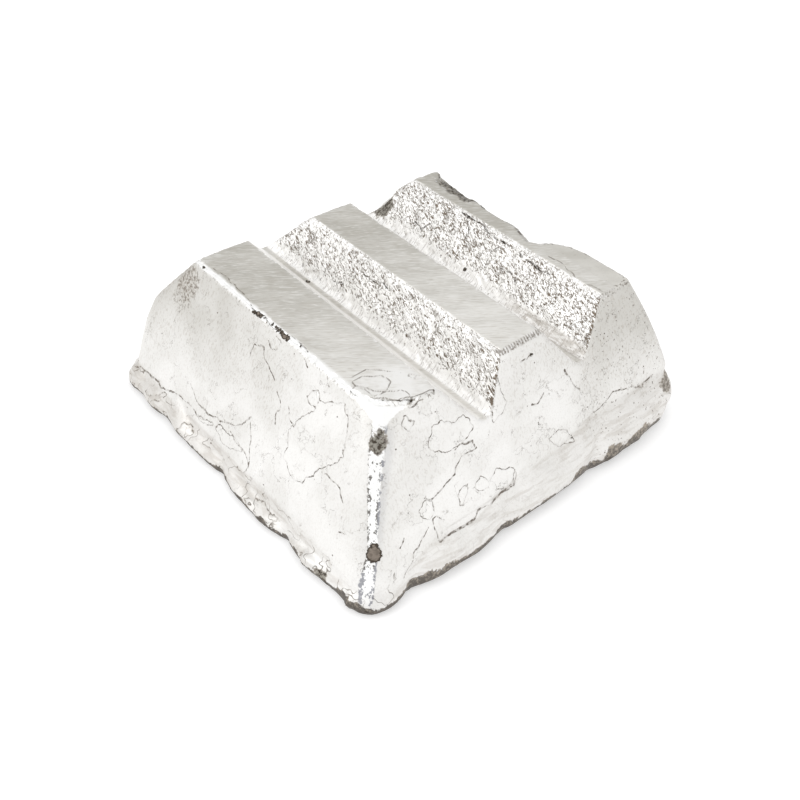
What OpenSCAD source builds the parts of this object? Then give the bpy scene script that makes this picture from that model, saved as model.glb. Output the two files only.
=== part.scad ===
// Master alloy ingot, cast in an open mould and turned over to lie on its cast face.
// Three lands and two grooves show on top, where the floor of the mould was. Along the foot
// runs the rolled lip that the metal left at the rim of the mould.
// X runs across the grooves, Y along them and Z up. The origin is at the middle of the foot.
// A station says where a point lies round the ingot, in hundredths of a side: 0 is the front
// left corner, 100 the front right, 200 the back right, 300 the back left, 400 the start again.

/* [Overall] */
// Width across the grooves, where the sides meet the floor
base_x = 150; // [125:1:190]
// Length along the grooves, where the ends meet the floor
base_y = 150; // [125:1:190]
// Height from the floor to the lands
height = 58; // [48:1:72]

/* [Sides] */
// Draft of the left side, from upright
left_draft = 23.3; // [8:0.1:26]
// Draft of the right side, from upright
right_draft = 16; // [8:0.1:22]
// Draft of the front end, from upright
front_draft = 19.5; // [8:0.1:24]
// Draft of the back end, from upright
back_draft = 5; // [3:0.1:12]
// How far the right side swells at half height
right_belly = 3.1; // [0:0.1:4]
// How far the front end swells at half height
front_belly = 0.8; // [0:0.1:4]
// How far the left side and back end swell at half height
left_belly = 0.6; // [0:0.1:4]

/* [Edges] */
// Corner radius in plan at the front left, at the lands
front_left_round = 12; // [6:0.5:15]
// Corner radius in plan at the front right, above the lip
front_right_round = 3; // [2:0.5:10]
// Corner radius in plan at the back right, at the lands
back_right_round = 6; // [3:0.5:12]
// Corner radius in plan at the back left, at the lands
back_left_round = 3; // [2:0.5:10]
// Corner radius in plan at the foot
foot_round = 9; // [6:0.5:14]
// Corner radius in plan at the foot of the front right corner
front_right_foot = 16; // [8:0.5:20]
// Radius of the edge round the lands
arris_round = 1.6; // [0.6:0.1:3]
// How far the worn tip of the front left corner is cut back
tip_wear = 2.6; // [0:0.1:5]
// How far down the worn tip reaches
tip_drop = 11; // [6:0.5:16]

/* [Slumped back] */
// Level length lost from the lands where the back edge slumped
slump_run = 19.5; // [6:0.5:26]
// Slope of the slumped edge, from level
slump_slope = 48; // [38:1:60]
// How softly the slump runs into the back end
slump_blend = 4; // [2:0.5:12]
// How far the slumped edge is askew, running forwards to the right
slump_skew = 4.3; // [0:0.1:8]
// How far in the back end is broken off at the right groove
break_depth = 5; // [0:0.5:6]

/* [Lands and grooves] */
// Width of the left land
left_land = 21; // [14:0.5:26]
// Width of the middle land
middle_land = 17; // [12:0.5:22]
// Width of the right land
right_land = 15; // [14:0.5:20]
// How far the middle land lies right of the middle of its gap
middle_shift = -1.3; // [-3:0.1:3]
// Depth of the grooves
groove_depth = 17.3; // [10:0.1:22]
// Radius along the root of a groove
root_round = 3; // [1.5:0.1:4]
// How far the root of the left groove lies right of its middle
left_root_shift = 1.8; // [-2:0.1:3]
// How far the root of the right groove lies right of its middle
right_root_shift = 0.3; // [-2:0.1:3]
// Radius along the crests of the grooves
crest_round = 1.3; // [0.5:0.1:2.5]

/* [Cast lip] */
// Height of the rounded underside of the lip
lip_round = 4.5; // [2:0.5:6]
// How far the underside of the lip tucks in at the floor
lip_tuck = 3; // [1:0.1:4]
// Depth of the lap line along the top of the lip
lap_depth = 0.7; // [0:0.1:1.5]
// Height of the ramp from the lap line up to the side
lap_ramp = 1.4; // [0.8:0.1:3]

/* [Chipped edge] */
// Deepest bite out of the right edge of the right land
chip_depth = 11; // [0:0.5:11]
// How far down the chipped face reaches at its deepest
chip_drop = 22; // [10:0.5:26]
// How far the ledge broken from the chipped edge's back end reaches in
ledge_depth = 4; // [0:0.5:5]
// How far down the ledge lies
ledge_drop = 3.5; // [2:0.5:6]

/* [Hidden] */

// Counts of steps along a side, round a corner, round an edge and down a groove arc
side_steps = 44;
corner_steps = 7;
edge_steps = 4;
arc_steps = 6;
// How far the groove cutters run clear of the ingot
cut_over = 5;

side = 100;
whole = 4 * side;

// Height of the lip by station
lip_height = [
    [0, 7], [12, 8], [20, 13], [34, 13], [47, 17], [58, 17], [70, 21], [95, 21], [108, 18],
    [130, 12], [160, 9], [200, 10], [250, 12], [290, 10], [303, 9], [315, 10], [324, 13],
    [332, 7], [360, 6], [400, 7]
];

// Rolls of the lip: middle station, half length in stations, how far it stands out
rolls = [
    [3, 8, 2.2], [27, 13, 4.4], [54, 17, 3.8], [83, 13, 4], [99, 7, 2.2], [116, 10, 2.4],
    [140, 14, 3], [168, 14, 2.8], [195, 12, 3], [222, 15, 2.6], [252, 16, 3.43],
    [282, 14, 3.2], [302, 8, 3], [314, 7, 3.4], [332, 14, 3.2], [359, 13, 3.8],
    [382, 9, 2.6], [396, 8, 1.4]
];

// Share of the deepest bite, of the chipped face's height and of the ledge, by station
chip_bite = [
    [120, 0], [125, 0.06], [131, 0.25], [135.5, 0.75], [139.5, 1], [144, 0.8], [148, 0.66],
    [164, 0.67], [173, 0.52], [185, 0.52], [196, 0.42], [203, 0]
];
chip_fall = [[120, 0.3], [139, 1], [165, 1], [180, 0.9], [203, 0.3]];
ledge_bite = [[171, 0], [177, 0.7], [182, 1], [193, 1], [198, 0.2], [201, 0]];

// Share of the break in the back end, by station and by share of the height
break_wide = [[217, 0], [221, 1], [228, 1], [232, 0]];
break_high = [[0.55, 0], [0.63, 0.8], [0.72, 1], [0.8, 0.9], [0.9, 0.3], [0.96, 0]];

// Beads on the lip: side, share along it, turn round its corner, height, radius, length as a
// share or a turn, how far out its middle lies, and how far its second end rises
bead_list = [
    [0, 0.02, 0, 3.4, 3.2, 0.05, -1.2, 0.4],
    [0, 0.92, 0, 8, 3.6, 0.05, -0.8, 3],
    [0, 1, 35, 11, 4.2, 30, -1, 2],
    [0, 1, 70, 5, 3.4, 30, -0.4, 1],
    [1, 0.06, 0, 14, 3.8, 0.05, -1.2, -3],
    [1, 0.5, 0, 4.4, 3, 0.06, -0.4, 0.6],
    [2, 0.3, 0, 4.2, 2.8, 0.08, -0.4, 0.4],
    [2, 0.72, 0, 5, 3, 0.05, -0.6, 0.8],
    [2, 1, 40, 4.6, 3.2, 40, -0.4, 1.4],
    [3, 0.16, 0, 3.6, 3, 0.05, -0.4, 0.8],
    [3, 0.62, 0, 3.2, 2.4, 0.05, -0.2, 0.2],
    [3, 0.86, 0, 3.2, 3, 0.03, 0.2, 0.6],
    [3, 1, 30, 3, 2.8, 40, -0.6, 0.4]
];
// Size of a bead's second end beside its first, and its smoothness
bead_taper = 0.75;
bead_faces = 14;

// Lean of the lip's rolls towards the floor, and the share of the lip where its lap line begins
roll_lean = 0.7;
lap_begin = 0.86;
// Reach of the worn tip on each side of the corner, in stations
tip_reach = 9;

lip_high = max([for (l = lip_height) l[1]]);
lands_left = -base_x / 2 + height * tan(left_draft);
lands_right = base_x / 2 - height * tan(right_draft);
groove_gap = lands_right - lands_left - left_land - right_land;
middle_left = lands_left + left_land + (groove_gap - middle_land) / 2 + middle_shift;

function clamp01(v) = min(1, max(0, v));
function ease(v) = clamp01(v) * clamp01(v) * (3 - 2 * clamp01(v));
function soft_min(a, b, k) = (a + b - sqrt((a - b) * (a - b) + k * k)) / 2;
function mix(a, b, t) = a + (b - a) * t;

// Distance round the ingot between two stations
function apart(a, b) = min(abs(a - b), whole - abs(a - b));

// Where each side stands at height z, before its lip and edges
function swell(z) = sin(180 * z / height);
function left_at(z) = -base_x / 2 + z * tan(left_draft) - left_belly * swell(z);
function right_at(z) = base_x / 2 - z * tan(right_draft) + right_belly * swell(z);
function front_at(z) = -base_y / 2 + z * tan(front_draft) - front_belly * swell(z);
function back_straight(z) = base_y / 2 - z * tan(back_draft) + left_belly * swell(z);
function back_slump(z) = base_y / 2 - height * tan(back_draft) - slump_run
    + (height - z) / tan(slump_slope);
function back_at(z) = soft_min(back_straight(z), back_slump(z), slump_blend);

// Corner radii at height z, from the front left round to the back left
function corner_at(z) = [
    mix(foot_round, front_left_round, z / height),
    mix(front_right_foot, front_right_round, ease(z / lip_high)),
    mix(foot_round, back_right_round, z / height),
    mix(foot_round, back_left_round, z / height)
];

// How far a point on the back is pulled forwards, where the slumped edge is askew
function skew_in(x, y, z) = (x - lands_left) * tan(slump_skew)
    * ease(z / height) * clamp01(y / back_at(z));

// The lip: its rolls, its rounded underside and the lap line along its top
function roll_shape(t) = t < 1 ? sqrt(1 - t * t) : 0;
function roll_out(s) = max([for (r = rolls) r[2] * roll_shape(apart(s, r[0]) / r[1])]);
function tuck_in(z) = z < lip_round
    ? lip_tuck * (1 - sqrt(1 - pow(1 - z / lip_round, 2))) : 0;
function lip_out(s, t, z) = roll_out(s) * sin(180 * pow(t, roll_lean)) - tuck_in(z)
    - lap_depth * ease((t - lap_begin) / (1 - lap_begin));

// Wear at the top: the chipped right edge, the worn front left tip and the broken back end
function chip_in(s, z) = chip_depth * lookup(s, chip_bite)
    * clamp01(1 - (height - z) / (chip_drop * lookup(s, chip_fall)));
function ledge_in(s, z) = ledge_depth * lookup(s, ledge_bite) * ease(1 - (height - z) / ledge_drop);
function break_in(s, z) = break_depth * lookup(s, break_wide) * lookup(z / height, break_high);
function tip_in(s, z) = tip_wear * clamp01(1 - apart(s, 0) / tip_reach)
    * clamp01(1 - (height - z) / tip_drop);
function worn_in(s, z) = chip_in(s, z) + ledge_in(s, z) + tip_in(s, z) + break_in(s, z);

// Levels of the mesh: shares of the lip, then shares of the side above it, then the edge
lip_levels = [0, 0.05, 0.13, 0.24, 0.38, 0.55, 0.74, 0.9, 1];
side_levels = [0.16, 0.34, 0.52, 0.66, 0.78, 0.88, 0.95];
edge_levels = [for (i = [0:edge_steps]) 90 * i / edge_steps];

edge_foot = height - arris_round;
function side_z(s, t) = mix(lookup(s, lip_height) + lap_ramp, edge_foot, t);

// Each level gives a height and how far it stands out of the plain side, at a station
function level(s, i) =
    i < len(lip_levels)
        ? let (t = lip_levels[i], z = t * lookup(s, lip_height)) [z, lip_out(s, t, z)]
    : i == len(lip_levels)
        ? [side_z(s, 0), 0]
    : i <= len(lip_levels) + len(side_levels)
        ? let (z = side_z(s, side_levels[i - len(lip_levels) - 1])) [z, -worn_in(s, z)]
    : let (a = edge_levels[i - len(lip_levels) - len(side_levels) - 1],
           z = edge_foot + arris_round * sin(a))
        [z, -arris_round * (1 - cos(a)) - worn_in(s, z)];
level_count = len(lip_levels) + 1 + len(side_levels) + len(edge_levels);

// Places round the ingot: side number, share along its straight part, turn round its corner
places = [
    for (n = [0:3]) each concat(
        [for (i = [0:side_steps - 1]) [n, i / side_steps, 0]],
        [for (i = [0:corner_steps - 1]) [n, 1, 90 * i / corner_steps]]
    )
];
place_count = len(places);

// Station of a place, with the corner spread over a few hundredths on each side of it
corner_span = 5;
function station(p) =
    let (s = side * p[0] + mix(corner_span, side - corner_span, p[1]) + 2 * corner_span * p[2] / 90)
    s >= whole ? s - whole : s;

// The outline: corner centres, and the point at a place and height, moved outwards
function outline_at(p, z, out) =
    let (
        r = corner_at(z),
        xs = [left_at(z), right_at(z)],
        ys = [front_at(z), back_at(z)],
        centres = [
            [xs[0] + r[0], ys[0] + r[0]], [xs[1] - r[1], ys[0] + r[1]],
            [xs[1] - r[2], ys[1] - r[2]], [xs[0] + r[3], ys[1] - r[3]]
        ],
        n = p[0],
        next = (n + 1) % 4,
        straight = [cos(90 * n - 90), sin(90 * n - 90)],
        facing = [cos(90 * n - 90 + p[2]), sin(90 * n - 90 + p[2])],
        start = centres[n] + r[n] * straight,
        end = centres[next] + r[next] * straight,
        plain = p[1] < 1 ? mix(start, end, p[1]) : centres[next] + r[next] * facing,
        moved = plain + out * facing
    )
    [moved[0], moved[1] - skew_in(moved[0], moved[1], z), z];

function point_at(p, i) =
    let (there = level(station(p), i))
    outline_at(p, there[0], there[1]);

module block() {
    polyhedron(
        points = [for (i = [0:level_count - 1]) for (p = places) point_at(p, i)],
        faces = concat(
            [[for (j = [0:place_count - 1]) j]],
            [for (i = [0:level_count - 2]) for (j = [0:place_count - 1])
                let (a = i * place_count + j, b = i * place_count + (j + 1) % place_count)
                [a, a + place_count, b]],
            [for (i = [0:level_count - 2]) for (j = [0:place_count - 1])
                let (a = i * place_count + j, b = i * place_count + (j + 1) % place_count)
                [b, a + place_count, b + place_count]],
            [[for (j = [place_count - 1:-1:0]) (level_count - 1) * place_count + j]]
        ),
        convexity = 6
    );
}

// A bead of metal frozen on the lip: a short rope of two balls
module bead(b) {
    half_turn = b[5] / 2;
    corner = b[1] >= 1;
    near = corner ? [b[0], 1, b[2] - half_turn] : [b[0], b[1] - half_turn, 0];
    far = corner ? [b[0], 1, b[2] + half_turn] : [b[0], b[1] + half_turn, 0];
    hull() {
        translate(outline_at(near, b[3], b[6])) sphere(b[4]);
        translate(outline_at(far, b[3] + b[7], b[6])) sphere(b[4] * bead_taper);
    }
}

module beads() {
    for (b = bead_list) bead(b);
}

// Everything below the floor line, to trim the beads flat
module floor_cut() {
    translate([-base_x, -base_y, -height])
    cube([2 * base_x, 2 * base_y, height]);
}

// Slope of a groove wall that runs from a crest to touch the root circle
function wall_slope(run, fall) =
    atan2(fall, run) + asin(root_round / norm([run, fall]));

// Outline of one groove: crest, wall, root, wall, crest
function groove_outline(x0, x1, shift) =
    let (
        root = [(x0 + x1) / 2 + shift, height - groove_depth + root_round],
        fall = height - root[1],
        a = wall_slope(root[0] - x0, fall),
        b = wall_slope(x1 - root[0], fall),
        left = [x0 - crest_round * tan(a / 2), height - crest_round],
        right = [x1 + crest_round * tan(b / 2), height - crest_round]
    )
    concat(
        [[left[0], height + cut_over]],
        [for (i = [1:arc_steps]) let (t = a * i / arc_steps) left + crest_round * [sin(t), cos(t)]],
        [for (i = [0:arc_steps]) let (t = mix(a, -b, i / arc_steps)) root - root_round * [sin(t), cos(t)]],
        [for (i = [arc_steps:-1:1]) let (t = -b * i / arc_steps) right + crest_round * [sin(t), cos(t)]],
        [[right[0], height + cut_over]]
    );

module groove(x0, x1, shift) {
    translate([0, base_y / 2 + cut_over, 0])
    rotate([90, 0, 0])
    linear_extrude(base_y + 2 * cut_over)
    polygon(groove_outline(x0, x1, shift));
}

module ingot() {
    color("silver")
    difference() {
        union() {
            block();
            beads($fn = bead_faces);
        }
        floor_cut();
        groove(lands_left + left_land, middle_left, left_root_shift);
        groove(middle_left + middle_land, lands_right - right_land, right_root_shift);
    }
}

ingot();
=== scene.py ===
"""Looks of a cast master alloy ingot, lying on its cast face.

The casting is a fine mesh grown from the ingot's solid, with the relief that the mould, the
cooling metal and rough handling left on it. One metal covers it: a cast aluminium alloy."""

import itertools
import math
from functools import partial
from types import SimpleNamespace

import bmesh
import bpy
import numpy as np
from bpy.props import FloatProperty, FloatVectorProperty, PointerProperty
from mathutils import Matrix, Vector


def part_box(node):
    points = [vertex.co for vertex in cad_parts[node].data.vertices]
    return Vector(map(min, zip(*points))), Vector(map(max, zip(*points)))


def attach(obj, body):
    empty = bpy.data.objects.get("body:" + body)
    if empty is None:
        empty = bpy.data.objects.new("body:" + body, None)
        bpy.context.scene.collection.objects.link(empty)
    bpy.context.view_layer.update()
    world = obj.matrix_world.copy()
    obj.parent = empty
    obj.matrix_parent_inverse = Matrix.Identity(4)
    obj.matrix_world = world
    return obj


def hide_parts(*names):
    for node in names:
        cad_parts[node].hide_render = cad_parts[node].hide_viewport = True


bl_info = {
    "name": "Cast Alloy Ingot",
    "version": (1, 0, 0),
    "blender": (4, 5, 0),
    "location": "View3D > Sidebar > Ingot",
    "description": "Builds the surface, metal and studio of a notched master alloy ingot",
    "category": "Object",
}

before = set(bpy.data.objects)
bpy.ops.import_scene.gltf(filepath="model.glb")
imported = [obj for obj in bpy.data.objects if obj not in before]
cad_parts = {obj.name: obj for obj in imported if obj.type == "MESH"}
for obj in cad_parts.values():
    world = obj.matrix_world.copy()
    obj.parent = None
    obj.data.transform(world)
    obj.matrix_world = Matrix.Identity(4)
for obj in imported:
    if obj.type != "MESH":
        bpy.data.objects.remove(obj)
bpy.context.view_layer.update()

NODE = "ingot"
BODY = "root"
MM = 0.001
LOW, HIGH = (np.array(corner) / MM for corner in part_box(NODE))
HEIGHT = HIGH[2]


def linear(code):
    """An sRGB hex colour as linear red, green and blue."""
    channels = [int(code[i:i + 2], 16) / 255 for i in (1, 3, 5)]
    return [c / 12.92 if c <= 0.04045 else ((c + 0.055) / 1.055) ** 2.4 for c in channels]


# ---------------------------------------------------------------------------------------
# Marks of the casting, in millimetres. On the left side and the right side a mark's first
# number is its place along Y; on the front end and the back end it is its place along X.
# The second number is its height. A closed mark is a flake of cast skin, an open one a crack.

SIDE_FLAKES = [
    [(-38, 53), (-42, 50), (-44, 45), (-44, 40), (-42, 35), (-37, 31), (-36, 28), (-32, 23),
     (-27, 22), (-23, 24), (-20, 25), (-21, 30), (-19, 34), (-21, 36), (-23, 41), (-27, 45),
     (-28, 49), (-33, 51)],
    [(-24, 50), (-26, 52), (-28, 50), (-28, 47), (-25, 46), (-22, 47)],
    [(15, 14), (13, 16), (10, 16), (5, 17), (1, 16), (-2, 15), (3, 13), (10, 12)],
    [(54, 6), (51, 8), (46, 10), (49, 7)],
    [(34, 4), (31, 7), (28, 7), (26, 6), (29, 4)],
    [(27, 12), (24, 13), (18, 14), (23, 11)],
    [(-8, 4), (-14, 6), (-22, 6), (-29, 6), (-24, 4), (-15, 3)],
]
SIDE_CRACKS = [
    [(8, 44), (8, 49), (3, 50), (1, 47), (-4, 45), (-7, 44)],
    [(2, 53), (0, 52), (-3, 52), (-4, 55), (-1, 56)],
    [(-9, 41), (-12, 39), (-13, 37), (-12, 35), (-13, 32)],
    [(-16, 40), (-18, 37), (-21, 36)],
    [(72, 8), (61, 10), (51, 10), (43, 12), (33, 13), (27, 12)],
    [(35, 20), (30, 17), (25, 16), (21, 16), (13, 18), (7, 20), (2, 24), (-1, 28)],
    [(8, 17), (2, 16), (-3, 15), (-6, 12), (-4, 9)],
    [(-1, 26), (-4, 19), (-6, 12)],
    [(53, 4), (50, 6), (47, 8)],
    [(-28, 57), (-29, 55), (-30, 54)],
    [(-16, 56), (-19, 55)],
    [(-40, 31), (-44, 31), (-48, 31), (-51, 28)],
    [(-53, 19), (-56, 21)],
]
END_FLAKES = [
    [(-22, 46), (-26, 46), (-31, 48), (-34, 48), (-35, 46), (-37, 46), (-37, 43), (-35, 40),
     (-32, 38), (-29, 38), (-26, 38), (-19, 41)],
    [(-44, 28), (-46, 26), (-45, 23), (-43, 21), (-41, 22), (-41, 26)],
    [(-30, 24), (-26, 25), (-26, 23), (-28, 21), (-29, 18), (-31, 19), (-31, 22)],
    [(-25, 22), (-21, 24), (-18, 22), (-18, 18), (-22, 19)],
    [(-18, 21), (-14, 23), (-8, 21), (-7, 19), (-8, 15), (-11, 15), (-15, 17)],
    [(10, 22), (14, 23), (18, 22), (20, 17), (14, 17), (11, 19)],
    [(-6, 52), (-5, 42), (-7, 40), (-11, 39), (-11, 45), (-9, 50)],
    [(-44, 52), (-42, 54), (-40, 52), (-42, 50)],
]
END_CRACKS = [
    [(-28, 37), (-26, 38), (-21, 37), (-20, 34), (-23, 34), (-26, 34), (-29, 32), (-30, 30),
     (-34, 29), (-37, 28), (-40, 27), (-43, 28)],
    [(-39, 19), (-40, 20), (-42, 20), (-42, 18), (-41, 12), (-37, 12), (-33, 12), (-28, 12),
     (-24, 13), (-19, 13), (-14, 14), (-11, 14), (-8, 14), (-6, 16), (-7, 19)],
    [(-44, 19), (-46, 17), (-49, 15), (-53, 11), (-57, 7)],
    [(31, 22), (33, 21), (36, 22), (42, 24), (47, 23), (52, 22), (56, 20), (63, 21)],
    [(22, 41), (23, 38), (25, 34), (27, 32)],
    [(5, 37), (8, 36), (11, 38)],
    [(9, 52), (7, 51), (4, 52)],
    [(-60, 11), (-61, 6)],
    [(-54, 20), (-56, 18)],
    [(-40, 56), (-36, 57), (-29, 57)],
]
# Cracks of the bright groove walls, at their places along Y and their heights
WALL_CRACKS = [
    [(33, 47), (30, 46), (31, 42)],
    [(27, 46), (25, 44), (22, 45), (19, 47), (21, 42)],
    [(48, 47), (44, 44), (42, 42)],
    [(60, 46), (56, 43), (55, 45)],
    [(12, 53), (6, 52), (2, 54), (-3, 53)],
]
FAR_WALL_CRACKS = [
    [(14, 57), (10, 57), (3, 57), (-4, 56), (-11, 56), (-16, 56), (-23, 55), (-34, 55)],
    [(11, 57), (7, 53), (7, 51)],
    [(-8, 55), (-6, 52), (-7, 47)],
    [(-12, 49), (-17, 50), (-22, 48)],
    [(24, 50), (28, 46), (33, 47)],
]
# Laps of the lands and the split left crest, at their places along X and Y
LAND_CRACKS = [
    [(-49, -38), (-47, -38), (-45, -43), (-42, -46), (-38, -48), (-37, -51), (-38, -53),
     (-41, -52), (-44, -48), (-47, -45), (-49, -42), (-50, -39), (-49, -38)],
    [(-47, -36), (-43, -36), (-38, -39), (-38, -43), (-42, -46), (-46, -45), (-47, -40),
     (-47, -36)],
    [(-46, -34), (-40, -34), (-36, -38), (-33, -42)],
    [(-49, -41), (-47, -46), (-42, -51), (-35, -53), (-30, -54)],
    [(-31, -44), (-30, -46), (-32, -47), (-32, -45), (-31, -44)],
    [(46, -27), (47, -32), (45, -39), (43, -45), (45, -49), (45, -53)],
    [(-48, 42), (-47, 33), (-48, 23), (-49, 17), (-50, 13), (-49, 8), (-50, 3), (-49, -5),
     (-48, -11), (-49, -16)],
]
# The right side and the back end repeat the marks of the left side and the front end, mirrored
# and then moved back by this much along the side and in height
MIRRORED = (-1, 1)
RIGHT_SHIFT = (-6, -2)
BACK_SHIFT = (9, 4)

# Height of the lap line over the lip along the front end, from the left corner to the right, on
# the front part of the right side, and on the rest
LAP_FRONT = [(-75, 7), (-57, 8), (-45, 13), (-24, 13), (-5, 17), (12, 17), (30, 21), (75, 21)]
LAP_RIGHT = 18
LAP_PLAIN = 10
# Where the front end starts along Y, where the right side starts along X, and where the front
# part of the right side ends along Y
FRONT_END = -55
RIGHT_SIDE = 55
RIGHT_PART = -30
# Height under which the lip is painted dark as shade under its roll, along the front end from the
# left corner to the right, and on the rest, and where the front end's rim starts along Y
RIM_FRONT = [(-75, 5), (-68, 3.4), (-60, 4.5), (-48, 5.6), (-20, 5.2), (0, 4.5), (15, 5),
             (18, 8.3), (22, 7), (25, 5.5), (31, 4.5), (34, 7.9), (39, 8.3), (42, 6), (46, 8.3),
             (53, 8.8), (57, 5.5), (70, 3)]
RIM_PLAIN = 3.4
FRONT_RIM = -60
# Spots of oxide and slag: x, y, height and radius
SPOTS = [
    (-50.3, 12.8, 57.2, 0.7), (-50, 11, 57.4, 0.9), (-49.9, 9.2, 57.4, 0.9),
    (-49.6, 7.6, 57.6, 0.6), (-49.6, 5.6, 57.6, 0.4), (-49.6, 3, 57.6, 0.5),
    (-49.4, 1, 57.6, 0.7), (-49.5, -0.6, 57.5, 0.9), (-49.6, -2.4, 57.5, 1),
    (-49.8, -4, 57.4, 1.2), (-49.8, -5.8, 57.4, 1.1), (-49, -12, 57.6, 0.4),
    (-49.6, 44.5, 57.5, 0.7), (-51, 42.8, 57, 0.5), (-52.5, -26, 55, 0.6),
    (-64, -66.6, 21.6, 1.9), (-64.4, -67.4, 18.8, 2.7), (-14.3, 34, 40.8, 0.9),
    (32.7, 0.8, 43.2, 0.8), (32.2, 13.4, 42.6, 0.5), (7, -64.7, 29, 0.6), (9, -56.6, 52, 0.5),
    (44, -60.7, 40, 0.5), (20, -68.8, 17, 0.4), (-50, -66, 27, 0.4), (50.3, -9.6, 57.2, 1.2),
]
# Patches of rough broken metal: x, y, height, radius and strength
PATCHES = [
    (-51, -53.6, 51, 2.9, 1), (-52.2, -54.4, 48.4, 3.2, 1), (-54, 50, 50, 7, 0.42),
    (-58, 52, 44, 7, 0.36), (-63, 60, 42, 6, 0.3), (34, 50, 45, 5, 0.7), (53.5, 34, 56.5, 4, 1),
    (52, 27, 56.5, 5, 1), (51.5, 20, 56.8, 4, 1), (52.5, 12, 57, 3, 0.9),
    (69, -71, 16.5, 4.5, 0.55), (72, -70, 11, 3, 0.5), (-74.5, -53, 1.5, 4, 0.8),
    (34.5, -75, 1.5, 3, 0.9), (53, -75, 2, 3, 0.9), (20, -75, 0.8, 2, 0.9), (70, 30, 8, 5, 0.5),
    (74, -18, 5, 4, 0.5), (-20, 77, 4, 4, 0.5), (42, 77, 5, 5, 0.5), (-76, 66, 4, 3, 0.4),
]
# The bright band down the rounded front left corner, painted as a highlight on the rounding:
# height, middle to the right, half width
BAND = [(4, -0.3, 2), (9, -0.5, 2.3), (19, 0.4, 1.5), (26, -0.2, 1.6), (38, -1, 2),
        (46, -1.2, 2.4), (50.5, -1.2, 2), (53.2, -1.1, 2.5), (54.5, -1.3, 4), (56, -1.5, 7),
        (58, -1.5, 9)]
# How far the corner moves right as it rises, and the sum of X and Y under which it lies
CORNER_LEAN = 0.055
CORNER = -80
# The beaded front edge of the middle land: its ends along X, how far back it reaches along Y, and
# the spacing of its beads
BEADED = (-4, 15)
BEADED_BACK = -50
BEAD_PITCH = 1.1

# Kinds of surface, and parts of them. Each is where all its steps are high, and a step goes from
# where it is 0 to where it is 1, by what it measures
SURFACES = {
    "land": (("off_roof", 1.4, 0.8), ("faces_up", 0.8, 0.93)),
    "bright_wall": (("off_roof", 1.4, 0.8), ("faces_right", -0.15, -0.35),
                    ("faces_back", -0.7, -0.5)),
    "dull_wall": (("off_roof", 1.4, 0.8), ("faces_right", 0.4, 0.6), ("faces_back", -0.7, -0.5)),
    "root": (("off_roof", 1.4, 0.8), ("over_root", 4.5, 2), ("faces_up", 0.85, 0.97)),
    "ledge": (("off_roof", 0.8, 1.4), ("under_top", 14, 9), ("faces_up", 0.55, 0.75)),
    "crest": (("under_top", 1.4, 0.9),),
    "edge": (("faces_up", 0.99, 0.95),),
    "left_crest": (("ragged_right", -48.2, -48.8),),
    "lip": (("over_lap", 0.5, -1.5),),
    "shaded": (("faces_up", -0.1, -0.5), ("height", 0.02, 0.3)),
    "rim": (("over_rim", 0.3, -0.5),),
    "chip": (("right", 46, 48), ("back", -31, -24), ("back", 54, 42), ("ragged_depth", 13, 3),
             ("faces_up", 0.99, 0.93), ("faces_right", 0.1, 0.3)),
    "slump": (("ragged_depth", 26, 14), ("faces_back", 0.3, 0.5)),
    "tearing": (("back", -14, 20), ("torn", 0.25, 0.6)),
    "wall_end": (("from_end", 3, 0.5),),
}
# How far to either side of the middle the slump reaches, and the depth of wall by the root and
# by the lands in which a wall's front end is found
SLUMP_REACH = 62
WALL_END = 3

# How far each kind of surface lies out of the solid, in millimetres
LEVELS = {"skin": -0.15, "bright_wall": -0.34, "dull_wall": -0.1, "root": 0, "land": -0.06,
          "lip": -0.25, "chip": -0.3, "slump": -0.15, "patch": -0.25}
# Waves of those surfaces and of the outlines of marks, in millimetres: height, size and seed,
# and squeeze along X, Y and Z where there is one
WAVES = {
    "skin": ((0.2, 16, 1), (0.06, 4, 2)),
    "bright_wall": ((0.32, 5, 17),),
    "columns": ((0.2, 1.1, 3, (1, 0.3, 1)), (0.14, 2.2, 4, (1, 0.4, 1))),
    "dull_wall": ((0.12, 1.2, 5, (1, 0.25, 1)),),
    "root": ((0.12, 2, 6, (1, 0.3, 1)),),
    "land": ((0.05, 9, 7),),
    "lip": ((0.36, 8, 11), (0.14, 3, 12)),
    "chip": ((0.5, 4, 13), (0.25, 1.5, 14)),
    "slump": ((0.3, 3.2, 15), (0.15, 1.3, 16)),
    "patch": ((0.35, 2, 19), (0.2, 1, 20)),
    "nicks": ((1, 2.6, 8), (0.6, 1.1, 18)),
    "mark_edge": ((0.7, 4, 9), (0.5, 1.8, 10), (0.25, 0.9, 11)),
    "patch_edge": ((1.6, 3, 21), (0.8, 1.2, 22)),
    "rim_edge": ((0.9, 3, 23), (0.5, 1.2, 24)),
    "torn": ((-1, 4.5, 25), (-0.5, 2, 26)),
    "crest_edge": ((0.6, 3, 27),),
    "end_edge": ((0.8, 2, 28),),
    "chip_edge": ((4, 7, 29), (2, 2.5, 30)),
    "bend_along": ((0.6, 2.5, 31),),
    "bend_up": ((0.6, 2.5, 32),),
}
# Cosine and sine of the lean of the bright walls' crystal columns
COLUMN_LEAN = (0.87, 0.5)
# Heights and depths of single marks, in millimetres
TORN_DEPTH = 0.6
NICK_DEPTH = 0.5
BEAD_HEIGHT = 0.15
FLAKE_RISE = 0.14
CRACK_DEPTH = 0.16
SPOT_DEPTH = 0.3
# How far outside a mark's outline its relief starts, and where it is full
FLAKE_BEVEL = (0.5, -0.5)
CRACK_BEVEL = (0.5, 0)
SPOT_BEVEL = (0.3, -0.6)
PATCH_BEVEL = (1, -1.5)
# How much of the raggedness of a flake's outline cracks and spots have, and the height under
# which an edge has no nicks
CRACK_RAGGED = 0.1
SPOT_RAGGED = 0.4
NICKS_FROM = 0.1
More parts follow.
